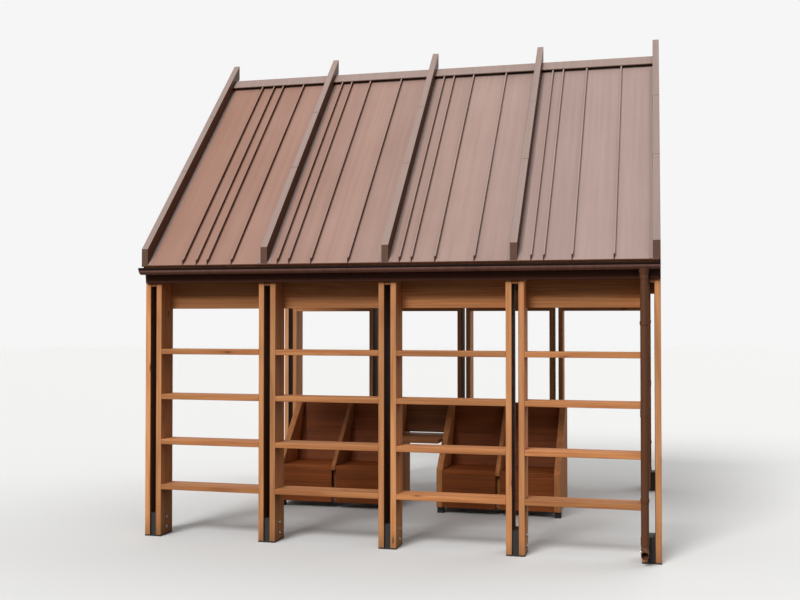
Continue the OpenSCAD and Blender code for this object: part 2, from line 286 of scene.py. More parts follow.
class StageSettings(PropertyGroup):
    """Camera, light and floor."""

    eye: FloatVectorProperty(
        name="Eye", description="Place of the camera", default=(2.139, -9.935, 1.88), subtype="XYZ"
    )
    target: FloatVectorProperty(
        name="Target", description="Point in the middle of the picture",
        default=(-0.35, 0.0, 2.07), subtype="XYZ",
    )
    lens: FloatProperty(
        name="Lens", description="Focal length in millimetres", default=46.0, unit="CAMERA"
    )
    floor_r: FloatProperty(
        name="Floor", description="Radius of the floor", default=60.0, unit="LENGTH"
    )
    floor_colour: FloatVectorProperty(
        name="Floor colour", description="Colour of the floor",
        default=(0.70, 0.70, 0.69), subtype="COLOR",
    )
    floor_bounce: FloatVectorProperty(
        name="Floor bounce", description="Colour that the floor throws back on the building",
        default=(0.08, 0.07, 0.06), subtype="COLOR",
    )
    backdrop: FloatProperty(
        name="Backdrop", description="Strength of the pale background that is seen", default=0.92
    )
    sky_high: FloatProperty(
        name="Sky above", description="Strength of the soft light from above", default=0.80
    )
    sky_low: FloatProperty(
        name="Sky around", description="Strength of the soft light at eye level and below",
        default=0.08,
    )
    sun: FloatProperty(name="Lamp", description="Strength of the large soft lamp", default=2.6)
    sun_spread: FloatProperty(
        name="Lamp spread", description="Width of the large soft lamp as an angle",
        default=math.radians(22), subtype="ANGLE",
    )
    sun_way: FloatVectorProperty(
        name="Lamp direction", description="Direction in which the large soft lamp shines",
        default=(0.24, 0.85, -0.70), subtype="XYZ",
    )
    back_lamp: FloatProperty(
        name="Lamp behind", description="Strength of the lamp behind", default=0.9
    )
    back_spread: FloatProperty(
        name="Lamp behind, spread", description="Width of the lamp behind as an angle",
        default=math.radians(60), subtype="ANGLE",
    )
    back_way: FloatVectorProperty(
        name="Lamp behind, direction", description="Direction in which the lamp behind shines",
        default=(-0.55, -0.75, -0.70), subtype="XYZ",
    )


class Term:
    """A shader value that plain expressions add, subtract, multiply and raise to a power."""

    def __init__(self, shade, socket):
        self.shade = shade
        self.socket = socket

    def maths(self, operation, *values):
        return self.shade.node("ShaderNodeMath", {"operation": operation}, dict(enumerate(values)))

    def __add__(self, other):
        return self.maths("ADD", self, other)

    def __sub__(self, other):
        return self.maths("SUBTRACT", self, other)

    def __rsub__(self, other):
        return self.maths("SUBTRACT", other, self)

    def __mul__(self, other):
        return self.maths("MULTIPLY", self, other)

    def __pow__(self, other):
        return self.maths("POWER", self, other)

    def __rpow__(self, other):
        return self.maths("POWER", other, self)

    __radd__ = __add__
    __rmul__ = __mul__

    def sine(self):
        return self.maths("SINE", self)

    def root(self):
        return self.maths("SQRT", self)

    def between(self, low, high):
        """0 below low, 1 above high and smooth in between."""
        return self.shade.node(
            "ShaderNodeMapRange",
            {"interpolation_type": "SMOOTHSTEP"},
            {"Value": self, "From Min": low, "From Max": high},
        )


class Shade:
    """Adds nodes to the tree of one material, or to that of the world."""

    def __init__(self, owner):
        owner.use_nodes = True
        self.owner = owner
        self.tree = owner.node_tree

    def node(self, kind, settings=None, inputs=None, output=0):
        """Adds a node with its settings and the values or links of its sockets."""
        made = self.tree.nodes.new(kind)
        for key, value in (settings or {}).items():
            setattr(made, key, value)
        for key, value in (inputs or {}).items():
            self.feed(made.inputs[key], value)
        return Term(self, made.outputs[output])

    def feed(self, socket, value):
        if isinstance(value, Term):
            self.tree.links.new(value.socket, socket)
        else:
            socket.default_value = value

    def surface(self, gloss=0.5, **inputs):
        """Sets the material's surface: base_color feeds the socket Base Color, and so on."""
        sockets = self.tree.nodes["Principled BSDF"].inputs
        self.feed(sockets["Specular IOR Level"], gloss)
        for key, value in inputs.items():
            self.feed(sockets[key.replace("_", " ").title()], value)

    def split(self, vector):
        made = self.node("ShaderNodeSeparateXYZ", None, {0: vector})
        return [Term(self, made.socket.node.outputs[place]) for place in range(3)]

    def vector(self, x, y, z):
        return self.node("ShaderNodeCombineXYZ", None, {0: x, 1: y, 2: z})

    def place(self):
        return self.node("ShaderNodeTexCoord", output="Object")

    def facing(self):
        return self.node("ShaderNodeNewGeometry", output="Normal")

    def attribute(self, name, output="Fac"):
        return self.node("ShaderNodeAttribute", {"attribute_name": name}, output=output)

    def noise(self, vector, scale=1.0, detail=2.0, roughness=0.5):
        return self.node(
            "ShaderNodeTexNoise",
            None,
            {"Vector": vector, "Scale": scale, "Detail": detail, "Roughness": roughness},
        )

    def cells(self, vector):
        return self.node("ShaderNodeTexVoronoi", None, {"Vector": vector, "Scale": 1.0})

    def mix(self, factor, first, second, blend="MIX"):
        """Mixes two colours; a colour that is the same all over is given as three numbers."""
        pair = [c if isinstance(c, Term) else (*c, 1.0) for c in (first, second)]
        return self.node(
            "ShaderNodeMix",
            {"data_type": "RGBA", "blend_type": blend},
            {0: factor, 6: pair[0], 7: pair[1]},
            output=2,
        )

    def grey(self, value):
        return self.node("ShaderNodeCombineColor", None, {0: value, 1: value, 2: value})

    def bump(self, height, strength, distance):
        return self.node(
            "ShaderNodeBump", None, {"Height": height, "Strength": strength, "Distance": distance}
        )


def timber_finish(name, light, dark, splash=0.0):
    """Oiled softwood: rings and streaks along the grain, knots, darker ends, damp feet and painted
    shade.
    """
    timber = bpy.context.scene.shelter_timber
    shade = Shade(bpy.data.materials.new(name))
    along, across, through = shade.split(shade.attribute("grain", "Vector"))

    def wood_place(per_length, per_width):
        """Place in the log, with so many cells to a metre along the grain and across it."""
        return shade.vector(along * per_length, across * per_width, through * per_width)

    # Early and late wood: year rings that waver, streaks, pores and knots with their halos
    ring_gap = 0.011
    ring_waver = 0.045
    slow = shade.noise(wood_place(0.9, 6.0))
    fine = shade.noise(wood_place(5.0, 210.0), detail=3.0)
    streaks = shade.noise(wood_place(1.3, 55.0), detail=3.0).between(0.34, 0.70)
    radius = (across * across + through * through).root() + slow * ring_waver
    rings = (radius * (2 * math.pi / ring_gap)).sine() * 0.5 + 0.5
    knots = shade.cells(wood_place(2.1, 8.5))
    knot_core = 1.0 - knots.between(0.045, 0.085)
    knot_halo = 1.0 - knots.between(0.06, 0.19)
    late = rings ** 1.6 * 0.34 + streaks * 0.40 + fine * 0.16 + knot_halo * 0.30
    wood = shade.mix(late, light, dark)
    wood = shade.mix(knot_core * 0.8, wood, timber.knot)
    # Painted shade: faces that stand in shade are darkened towards the shade colour
    wood = shade.mix(shade.attribute("painted_shade"), wood, timber.painted_shade_colour)

    # Shades over the colour: broad clouds, the tone of each board, end grain and damp feet
    cloud_depth = 0.32
    board_depth = 0.28
    end_depth = 0.42
    damp_depth = 0.38
    cloud = shade.noise(wood_place(0.45, 11.0), detail=3.0).between(0.30, 0.72)
    shadow = 0.80 + cloud * cloud_depth
    shadow = shadow * (0.86 + shade.attribute("tone") * board_depth)
    shadow = shadow * (1.0 - shade.attribute("end_grain") * end_depth)
    if splash:
        height = shade.split(shade.place())[2]
        damp = 1.0 - (height + slow * 0.12).between(0.03, splash)
        shadow = shadow * (1.0 - damp * damp_depth)
    shade.surface(
        gloss=0.2,
        base_color=shade.mix(1.0, wood, shade.grey(shadow), "MULTIPLY"),
        roughness=0.50 + fine * 0.14 + rings * 0.08,
        normal=shade.bump(fine * 0.5 + rings * 0.3 + knot_halo * 0.5, 0.35, 0.0012),
    )
    return shade.owner


def sheet_finish(
    name, sky, side, warm=None, end=None, rim=None, roughness=0.42, film=0.10, dents=0.0, gloss=0.15
):
    """Painted sheet metal: a painted reflection of the sky where it faces the sky, painted shade on
    upright faces, rain streaks and faint waves.

    A warm colour, where one is given, fades into the sky colour from the left end to the right, a
    painted reflection that grows along the roof. An end colour goes on upright faces that look to
    the road or the back, lighter than the painted shade of the other upright faces. A rim is a
    height and the colour of all that lies above it, a painted shadow. Film is the depth of the
    streaks, and dents is that of the waves.
    """
    shade = Shade(bpy.data.materials.new(name))
    x, y, z = shade.split(shade.place())
    facing_y, facing_z = shade.split(shade.facing())[1:]
    streaks = shade.noise(shade.vector(x * 26.0, y * 0.3, z * 0.9), detail=4.0, roughness=0.6)
    cloud = shade.noise(shade.vector(x * 1.4, y * 1.4, z * 1.4), detail=3.0)
    grain = shade.noise(shade.vector(x, y, z), scale=420.0, detail=1.0)
    waves = shade.noise(shade.vector(x * 5.0, y * 1.1, z * 1.1), detail=1.0)
    # Painted reflection: the sky's sheen on the metal grows from the warm colour at the left end to
    # the sky colour at the right end
    if warm is not None:
        fade_from, fade_to, fade_waver = -2.4, 2.6, 0.9
        sky = shade.mix((x + cloud * fade_waver).between(fade_from, fade_to), warm, sky)
    # Painted light and shade: upright faces that look to the road or the back take the lighter end
    # colour
    if end is not None:
        side = shade.mix((facing_y * facing_y).between(0.60, 0.80), side, end)
    # Painted reflection and shade: faces that look up take the light sky colour, upright faces the
    # dark side colour
    paint = shade.mix(facing_z.between(0.15, 0.62), side, sky)
    # Painted shadow: all that lies above the rim height takes the near-black rim colour
    if rim is not None:
        height, colour = rim
        blur = 0.002
        paint = shade.mix(z.between(height - blur, height + blur), paint, colour)
    shadow = 1.0 - film + streaks.between(0.32, 0.70) * film + (cloud - 0.5) * film * 1.6
    if dents:
        shadow = shadow * (0.96 + shade.attribute("tone") * 0.08)
    shade.surface(
        gloss=gloss,
        base_color=shade.mix(1.0, paint, shade.grey(shadow), "MULTIPLY"),
        roughness=roughness + streaks * 0.16,
        normal=shade.bump(grain * 0.02 + waves * dents, 0.5, 0.02),
    )
    return shade.owner


def steel_finish(name, colour, metallic, roughness):
    """Plated or painted steel with fine wear."""
    shade = Shade(bpy.data.materials.new(name))
    place = shade.place()
    wear = shade.noise(place, scale=85.0, detail=4.0, roughness=0.65)
    dust = shade.noise(place, scale=9.0, detail=3.0)
    tint = 0.78 + wear * 0.30 + dust * 0.14
    shade.surface(
        base_color=shade.mix(1.0, colour, shade.grey(tint), "MULTIPLY"),
        metallic=metallic,
        roughness=roughness + wear * 0.22,
        normal=shade.bump(wear, 0.25, 0.0006),
    )
    return shade.owner


def finish(kind):
    """The material of that kind, made the first time it is asked for."""
    name = kind + "_finish"
    if name in bpy.data.materials:
        return bpy.data.materials[name]
    timber = bpy.context.scene.shelter_timber
    metal = bpy.context.scene.shelter_metal
    makers = {
        "frame_timber": lambda: timber_finish(
            name, timber.frame_light, timber.frame_dark, splash=0.24
        ),
        "rail_timber": lambda: timber_finish(name, timber.rail_light, timber.rail_dark),
        "block_timber": lambda: timber_finish(name, timber.roof_light, timber.roof_dark),
        "roof_timber": lambda: timber_finish(name, timber.roof_light, timber.roof_dark),
        "bench_timber": lambda: timber_finish(name, timber.bench_shaded_light, timber.bench_shaded_dark),
        "bench_end_timber": lambda: timber_finish(
            name, timber.panel_light, timber.panel_dark, splash=0.16
        ),
        "roof_metal": lambda: sheet_finish(
            name, metal.sheet_sky_sheen, metal.sheet_shaded_side, warm=metal.sheet_left_sheen, dents=0.25
        ),
        "trim_metal": lambda: sheet_finish(
            name, metal.trim_sky_sheen, metal.sheet_shaded_side, end=metal.trim_lit_end, dents=0.15
        ),
        "edge_metal": lambda: sheet_finish(
            name, metal.edge, metal.edge, roughness=0.60, film=0.14, gloss=0.12
        ),
        # Painted shadow: the top band of each gutter is painted near black
        "gutter_metal": lambda: sheet_finish(
            name, metal.gutter, metal.gutter, rim=(GUTTER_HIGH.z - RIM_SHADOW_H, metal.rim),
            roughness=0.50, film=0.20, gloss=0.12,
        ),
        # Painted shadow: the rolled rims are painted near black
        "rim_shadow_metal": lambda: sheet_finish(
            name, metal.rim, metal.rim, roughness=0.55, film=0.20, gloss=0.12
        ),
        "rain_metal": lambda: sheet_finish(
            name, metal.rain, metal.rain, roughness=0.40, film=0.16
        ),
        "foot_steel": lambda: steel_finish(name, metal.foot, metallic=0.0, roughness=0.45),
        "bolt_steel": lambda: steel_finish(name, metal.bolt, metallic=1.0, roughness=0.30),
    }
    return makers[kind]()


def node_mesh(name):
    """A clean bmesh of a sub-part: joined corners and whole flat faces."""
    bm = bmesh.new()
    bm.from_mesh(nodes[name].data)
    bmesh.ops.remove_doubles(bm, verts=bm.verts, dist=1e-5)
    bmesh.ops.dissolve_limit(
        bm, angle_limit=math.radians(0.5), use_dissolve_boundaries=False,
        verts=bm.verts, edges=bm.edges,
    )
    return bm


def ease(bm, width):
    """Rounds every edge whose faces turn by more than 20 degrees."""
    limit = math.radians(20)
    sharp = [edge for edge in bm.edges if edge.calc_face_angle(0.0) > limit]
    bmesh.ops.bevel(
        bm, geom=sharp, offset=width, offset_type="OFFSET", segments=2,
        profile=0.5, affect="EDGES", material=-1, clamp_overlap=True,
    )


def loose_parts(bm):
    """The separate solids of a mesh, each as a list of its vertices."""
    bm.verts.ensure_lookup_table()
    seen = set()
    parts = []
    for start in bm.verts:
        if start.index in seen:
            continue
        seen.add(start.index)
        part = [start]
        for vert in part:
            for edge in vert.link_edges:
                other = edge.other_vert(vert)
                if other.index not in seen:
                    seen.add(other.index)
                    part.append(other)
        parts.append(part)
    return parts


def longest_direction(part):
    """Direction of the longest edge of a solid, always counted towards the positive side."""
    best = None
    for vert in part:
        for edge in vert.link_edges:
            step = edge.verts[1].co - edge.verts[0].co
            if best is None or step.length > best.length + TINY:
                best = step
    best = best.normalized()
    if max(best, key=abs) < 0:
        best.negate()
    return best


def mark_grain(bm, name, along=None, painted_shade=None):
    """Gives each solid its own grain: a place in the log, a tone and its end faces.

    Where a painted shade function is given, it says for each face how much painted shade, a
    darkening towards the shade colour, that face gets. The heart of the log lies 50 to 130 mm from
    the middle of the solid, so the rings run as arcs.
    """
    nearly_y = 0.9
    nearly_end = 0.85
    bm.verts.index_update()
    grain = bm.verts.layers.float_vector.new("grain")
    tone = bm.verts.layers.float.new("tone")
    end_grain = bm.faces.layers.float.new("end_grain")
    painted_shade_layer = bm.faces.layers.float.new("painted_shade")
    # Painted shade, as much as the function gives for each face
    if painted_shade:
        for face in bm.faces:
            face[painted_shade_layer] = painted_shade(face)
    for number, part in enumerate(loose_parts(bm)):
        chance = random.Random(f"{name} {number}")
        axis = Vector(along) if along else longest_direction(part)
        reference = Vector((0, 1, 0)) if abs(axis.y) < nearly_y else Vector((1, 0, 0))
        across = axis.cross(reference).normalized()
        through = axis.cross(across)
        middle = sum((vert.co for vert in part), Vector()) / len(part)
        shift = Vector((
            chance.uniform(0, 40), chance.uniform(-0.04, 0.04), chance.uniform(0.05, 0.13)
        ))
        part_tone = chance.random()
        for vert in part:
            place = vert.co - middle
            vert[grain] = shift + Vector((place.dot(axis), place.dot(across), place.dot(through)))
            vert[tone] = part_tone
            for face in vert.link_faces:
                face[end_grain] = 1.0 if abs(face.normal.dot(axis)) > nearly_end else 0.0


def add_piece(bm, name, material, replaced=()):
    """Makes a finished piece of a bmesh."""
    mesh = bpy.data.meshes.new(name)
    bm.to_mesh(mesh)
    bm.free()
    piece = bpy.data.objects.new(name, mesh)
    bpy.context.scene.collection.objects.link(piece)
    mesh.materials.append(finish(material))
    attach(piece, "root")
    if replaced:
        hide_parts(*replaced)


def eased_timber(node, material, along=None, painted_shade=None):
    """Stands for a sub-part of timber, with eased edges and grain."""
    bm = node_mesh(node)
    ease(bm, bpy.context.scene.shelter_timber.arris)
    bm.normal_update()
    mark_grain(bm, node, along, painted_shade)
    add_piece(bm, node + "_eased", material, replaced=[node])


def reach_eaves(bm, step):
    """Carries the eaves end of each solid a step further out, down the slope."""
    end_y = max(abs(vert.co.y) for vert in bm.verts)
    margin = 0.001
    for vert in bm.verts:
        if abs(vert.co.y) > end_y - margin:
            vert.co.y += math.copysign(step, vert.co.y)
            vert.co.z -= step * math.tan(PITCH)


def folded_metal(node, material, reach=0.0):
    """Stands for a sub-part of sheet metal, with folded edges and a tone for each pan."""
    bm = node_mesh(node)
    if reach:
        reach_eaves(bm, reach)
    ease(bm, bpy.context.scene.shelter_metal.fold)
    chance = random.Random(node)
    tone = bm.faces.layers.float.new("tone")
    pan_area = 0.02
    for face in bm.faces:
        face[tone] = chance.random() if face.calc_area() > pan_area else 0.5
    add_piece(bm, node + "_folded", material, replaced=[node])


def keep_node(node, material):
    """Gives a sub-part that stays as it is a finish of its own."""
    data = nodes[node].data
    data.materials.clear()
    data.materials.append(finish(material))


def prism(bm, outline, start, end):
    """Extrudes an outline, given with y and z, along X."""
    verts = [bm.verts.new((start, y, z)) for y, z in outline]
    face = bm.faces.new(verts)
    made = bmesh.ops.extrude_face_region(bm, geom=[face])
    moved = [item for item in made["geom"] if isinstance(item, bmesh.types.BMVert)]
    bmesh.ops.translate(bm, verts=moved, vec=(end - start, 0, 0))
    faces = list({face for vert in verts + moved for face in vert.link_faces})
    bmesh.ops.recalc_face_normals(bm, faces=faces)


def slope_outline(side, low_y, high_y, low, high):
    """Outline of a layer on a slope, cut upright at both ends.

    Both y are distances from the middle, and low and high count outwards from the rafters.
    """
    return [
        (side * low_y, slope_z(low_y, low)),
        (side * high_y, slope_z(high_y, low)),
        (side * high_y, slope_z(high_y, high)),
        (side * low_y, slope_z(low_y, high)),
    ]


def turned(bm, profile, centre, steps=24):
    """Spins a closed profile, given with radius and height, round an upright axis."""
    x, y, z = centre
    verts = [bm.verts.new((x + radius, y, z + height)) for radius, height in profile]
    edges = [bm.edges.new(pair) for pair in zip(verts, verts[1:] + verts[:1])]
    bmesh.ops.spin(
        bm, geom=verts + edges, cent=centre, axis=(0, 0, 1),
        angle=2 * math.pi, steps=steps, use_merge=True,
    )


def disc(bm, centre, axis, depth, low_r, high_r, segments):
    """A short cone that stands on a face. Axis points away from the face."""
    axis = Vector(axis)
    turn = Vector((0, 0, 1)).rotation_difference(axis).to_matrix().to_4x4()
    place = Matrix.Translation(Vector(centre) + axis * depth / 2) @ turn
    bmesh.ops.create_cone(
        bm, cap_ends=True, segments=segments, radius1=low_r, radius2=high_r,
        depth=depth, matrix=place,
    )


def bolt(bm, centre, axis):
    """A washer and a hexagon head on a face. Axis points away from the face."""
    fixing = bpy.context.scene.shelter_fixing
    washer_t = 0.003
    head_h = 0.0075
    head_taper = 0.94
    on_washer = Vector(centre) + Vector(axis) * washer_t
    disc(bm, centre, axis, washer_t, fixing.washer_r, fixing.washer_r, segments=16)
    disc(bm, on_washer, axis, head_h, fixing.bolt_r, fixing.bolt_r * head_taper, segments=6)


def screw(bm, centre, axis, radius=0.006, height=0.0033, taper=0.55):
    """A low screw head on a face."""
    disc(bm, centre, axis, height, radius, radius * taper, segments=10)


class SHELTER_OT_frames(Operator):
    """Posts and rafters of the twin-plank frames, with eased edges, grain and painted shade in the
    gap between the planks
    """

    bl_idname = "shelter.frames"
    bl_label = "Posts and rafters"

    def execute(self, context):
        for side in SIDES:
            for number in FRAME_NUMBERS:
                middle = frame_x(number)

                def painted_shade(face):
                    """Painted shade: the faces that look into the gap between the planks are
                    darkened.
                    """
                    inward = face.normal.x * (middle - face.calc_center_median().x)
                    return GAP_SHADE if inward > 0.01 else 0.0

                eased_timber(f"{side}_post_{number}", "frame_timber", painted_shade=painted_shade)
                eased_timber(f"{side}_rafter_{number}", "frame_timber", painted_shade=painted_shade)
        return {"FINISHED"}


class SHELTER_OT_blocks(Operator):
    """Spacer blocks between the planks and the steel feet under them"""

    bl_idname = "shelter.blocks"
    bl_label = "Blocks and feet"

    def execute(self, context):
        eased_timber("spacer_blocks", "block_timber", along=(0, 0, 1))
        keep_node("post_feet", "foot_steel")
        return {"FINISHED"}


class SHELTER_OT_rails(Operator):
    """Rails of the road side and header boards between the frames"""

    bl_idname = "shelter.rails"
    bl_label = "Rails and headers"

    def execute(self, context):
        for number in BAY_NUMBERS:
            eased_timber(f"rails_bay_{number}", "rail_timber")
        eased_timber("headers", "rail_timber")
        return {"FINISHED"}


class SHELTER_OT_roof_timber(Operator):
    """Purlins, and roof boards that each run up the slope"""

    bl_idname = "shelter.roof_timber"
    bl_label = "Purlins and roof boards"

    def execute(self, context):
        settings = context.scene.shelter_timber
        eased_timber("purlins", "roof_timber")
        ridge_slot = 0.010
        least_length = 1.0
        downwards = -0.3
        count = round(2 * SHEET_HALF / settings.board_w)
        width = 2 * SHEET_HALF / count
        bm = bmesh.new()
        for side in SIDES.values():
            outline = slope_outline(side, BOARDS_Y, ridge_slot, BOARD_LOW, BOARD_HIGH)
            for number in range(count):
                left = -SHEET_HALF + number * width
                prism(bm, outline, left, left + width)
        long_edges_below = [
            edge
            for edge in bm.edges
            if abs(edge.verts[0].co.x - edge.verts[1].co.x) < TINY
            and edge.calc_length() > least_length
            and any(face.normal.z < downwards for face in edge.link_faces)
        ]
        bmesh.ops.bevel(
            bm, geom=long_edges_below, offset=settings.groove, offset_type="OFFSET", segments=1,
            profile=0.5, affect="EDGES", material=-1,
        )
        bm.normal_update()
        mark_grain(bm, "roof_boards")
        add_piece(bm, "roof_boards_laid", "roof_timber", replaced=["roof_boards"])
        return {"FINISHED"}


def rib_sides(number):
    """Left and right side of a rib: those of the end frames are flush with the gables."""
    left = frame_x(number) - RIB_W / 2
    if number == 1:
        left = -HALF_LENGTH
    if number == FRAME_NUMBERS[-1]:
        left = HALF_LENGTH - RIB_W
    return left, left + RIB_W


class SHELTER_OT_roof_metal(Operator):
    """Sheets with standing seams, ribs with their flashings and the ridge cap"""

    bl_idname = "shelter.roof_metal"
    bl_label = "Roof metal"

    def execute(self, context):
        for node in ("front_sheet", "rear_sheet"):
            folded_metal(node, "roof_metal")
        for node in ("front_ribs", "rear_ribs"):
            folded_metal(node, "trim_metal", reach=RIB_REACH)
        folded_metal("ridge_cap", "trim_metal")
        self.seam_folds()
        self.rib_flashings()
        self.cap_screws()
        return {"FINISHED"}

    def seam_folds(self):
        """The turned-over lip of each standing seam, from the eaves to under the ridge cap."""
        lip_w = 0.004
        lip_h = 0.012
        sunk = 0.0005
        end_y = EAVE_Y - 0.004
        cap_y = 0.075
        bm = bmesh.new()
        for side in SIDES.values():
            outline = slope_outline(side, end_y, cap_y, SEAM_TOP - lip_h, SEAM_TOP - sunk)
            for bay in BAY_NUMBERS:
                for part in SEAM_PARTS[bay]:
                    right = frame_x(bay) + FRAME_PITCH * part + SEAM_W / 2
                    prism(bm, outline, right - sunk, right + lip_w)
        add_piece(bm, "seam_lips", "roof_metal")

    def rib_flashings(self):
        """Strips on the sheet beside each rib and covers over the laps of its cladding."""
        strip_w = 0.030
        strip_t = 0.0015
        lap_half = 0.010
        laps_y = (0.55, 1.15)
        cover_top = RIB_TOP + strip_t
        end_y = EAVE_Y - 0.002
        cap_y = 0.095
        bm = bmesh.new()
        for side in SIDES.values():
            strip = slope_outline(side, end_y, cap_y, SHEET_TOP, SHEET_TOP + strip_t)
            for number in FRAME_NUMBERS:
                left, right = rib_sides(number)
                if number > 1:
                    prism(bm, strip, left - strip_w, left)
                if number < FRAME_NUMBERS[-1]:
                    prism(bm, strip, right, right + strip_w)
                past_left = strip_t if number > 1 else -strip_t
                past_right = strip_t if number < FRAME_NUMBERS[-1] else -strip_t
                for y in laps_y:
                    cover = slope_outline(side, y + lap_half, y - lap_half, SHEET_TOP, cover_top)
                    prism(bm, cover, left - past_left, right + past_right)
        add_piece(bm, "rib_flashings", "trim_metal")

    def cap_screws(self):
        """Screws along both edges of the ridge cap, one over each seam."""
        screw_y = 0.068
        cap_top = 0.199
        bm = bmesh.new()
        for side in SIDES.values():
            axis = Vector((0, side * math.sin(PITCH), math.cos(PITCH)))
            for bay in BAY_NUMBERS:
                for part in SEAM_PARTS[bay]:
                    x = frame_x(bay) + FRAME_PITCH * part
                    screw(bm, (x, side * screw_y, slope_z(screw_y, cap_top)), axis)
        add_piece(bm, "cap_screws", "bolt_steel")


class SHELTER_OT_edges(Operator):
    """Eaves boards and gable plates"""

    bl_idname = "shelter.edges"
    bl_label = "Edge metal"

    def execute(self, context):
        for node in ("fascias", "front_verges", "rear_verges"):
            folded_metal(node, "edge_metal")
        return {"FINISHED"}


class SHELTER_OT_rainwater(Operator):
    """Gutters with rolled rims and brackets, and downpipes with sockets"""

    bl_idname = "shelter.rainwater"
    bl_label = "Gutters and downpipes"

    def execute(self, context):
        fixing = context.scene.shelter_fixing
        keep_node("gutters", "gutter_metal")
        keep_node("downpipes", "rain_metal")
        self.rims(fixing.bead_r)
        self.brackets(fixing.bracket_count)
        self.sockets()
        return {"FINISHED"}

    def rims(self, bead_r):
        """Rolled rim along the outer edge of each gutter."""
        bm = bmesh.new()
        for side in SIDES.values():
            centre_y = side * (GUTTER_Y + GUTTER_R - bead_r)
            turn = Matrix.Rotation(math.pi / 2, 4, "Y")
            place = Matrix.Translation((0, centre_y, GUTTER_HIGH.z - bead_r)) @ turn
            bmesh.ops.create_cone(
                bm, cap_ends=True, segments=12, radius1=bead_r, radius2=bead_r,
                depth=2 * HALF_LENGTH, matrix=place,
            )
        # Painted shadow: the rims take the near-black rim colour
        add_piece(bm, "gutter_rims", "rim_shadow_metal")

    def brackets(self, count):
        """Half-round straps under each gutter."""
        strap_t = 0.0015
        strap_w = Vector((0.025, 0, 0))
        end_gap = 0.12
        reach = HALF_LENGTH - end_gap
        bm = bmesh.new()
        for side in SIDES.values():
            centre = Vector((0, side * GUTTER_Y, GUTTER_HIGH.z))
            for number in range(count):
                x = -reach + 2 * reach * number / (count - 1)
                first = centre + Vector((x, side * GUTTER_R, 0)) - strap_w / 2
                outer = first + Vector((0, side * strap_t, 0))
                corners = (first, outer, outer + strap_w, first + strap_w)
                face = bm.faces.new([bm.verts.new(corner) for corner in corners])
                bmesh.ops.spin(
                    bm, geom=[face], cent=centre, axis=(1, 0, 0), angle=-side * math.pi, steps=14
                )
        bmesh.ops.recalc_face_normals(bm, faces=bm.faces)
        add_piece(bm, "gutter_brackets", "gutter_metal")

    def sockets(self):
        """Funnel under the outlet of each gutter and collars along the downpipes."""
        pipe_r, outer_r, mouth_r = 0.030, 0.033, 0.044
        neck_low, neck_high = -0.085, -0.055
        collar_half = 0.03
        collars_z = (0.19, 1.16)
        lap = 0.010
        funnel_top = GUTTER_LOW.z + lap
        funnel = (
            (pipe_r, neck_low), (outer_r, neck_low), (outer_r, neck_high),
            (mouth_r, 0), (pipe_r, 0),
        )
        collar = (
            (pipe_r, -collar_half), (outer_r, -collar_half),
            (outer_r, collar_half), (pipe_r, collar_half),
        )
        bm = bmesh.new()
        for side in SIDES.values():
            turned(bm, funnel, (PIPE_X, side * GUTTER_Y, funnel_top))
            for z in collars_z:
                turned(bm, collar, (PIPE_X, side * GUTTER_Y, z))
        bmesh.ops.recalc_face_normals(bm, faces=bm.faces)
        add_piece(bm, "pipe_sockets", "rain_metal")


class SHELTER_OT_bolts(Operator):
    """Bolts through the planks at knees, ridge and feet"""

    bl_idname = "shelter.bolts"
    bl_label = "Bolts"

    # Bolts at a knee and at a foot, each inward from the outer face of the post and up from
    # the knee or the ground
    KNEE = ((0.065, 0.035), (0.140, 0.045), (0.140, 0.115), (0.215, 0.125))
    FOOT = ((0.11, 0.065), (0.11, 0.150))
    # Bolts at the ridge, each sideways from the middle and down from the tip of the rafters
    RIDGE = ((-0.09, 0.155), (0.09, 0.155), (-0.06, 0.225), (0.06, 0.225))

    def execute(self, context):
        bm = bmesh.new()
        for number in FRAME_NUMBERS:
            for face in (-1, 1):
                x = frame_x(number) + face * FRAME_T / 2
                on_gable = abs(x) > HALF_LENGTH - FRAME_T / 2
                if on_gable:
                    continue
                for side in SIDES.values():
                    for inward, up in self.KNEE:
                        bolt(bm, (x, side * (HALF_DEPTH - inward), KNEE_Z + up), (face, 0, 0))
                    for inward, up in self.FOOT:
                        bolt(bm, (x, side * (HALF_DEPTH - inward), up), (face, 0, 0))
                for y, down in self.RIDGE:
                    bolt(bm, (x, y, RAFTER_TOP - down), (face, 0, 0))
        add_piece(bm, "frame_bolts", "bolt_steel")
        return {"FINISHED"}


class SHELTER_OT_benches(Operator):
    """Benches with the small table between them"""

    bl_idname = "shelter.benches"
    bl_label = "Benches"

    def execute(self, context):
        lengthways = (1, 0, 0)
        upright = (0, 0, 1)
        for node in ("bench_panels", "bench_seats", "bench_backs"):
            eased_timber(node, "bench_timber", lengthways)
        table_low, table_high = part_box("bench_table")
        sides_low, sides_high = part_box("bench_sides")
        above_table_z = 0.71
        dividers_x = ((sides_low.x + table_low.x) / 2, (sides_high.x + table_high.x) / 2)
        divider_half = 0.03

        def table_painted_shade(face):
            """Painted shade: the board behind the table is darkened like the shaded backs beside
            it, and the table itself a little.
            """
            above = face.calc_center_median().z > above_table_z
            return BACK_BOARD_SHADE if above else TABLE_SHADE

        def divider_painted_shade(face):
            """Painted shade: the dividers between two seats are darker than the end panels."""
            x = face.calc_center_median().x
            near = min(abs(x - middle) for middle in dividers_x) < divider_half
            return DIVIDER_SHADE if near else 0.0

        eased_timber("bench_table", "bench_end_timber", lengthways, table_painted_shade)
        eased_timber("bench_sides", "bench_end_timber", upright, divider_painted_shade)
        keep_node("bench_feet", "foot_steel")
        return {"FINISHED"}


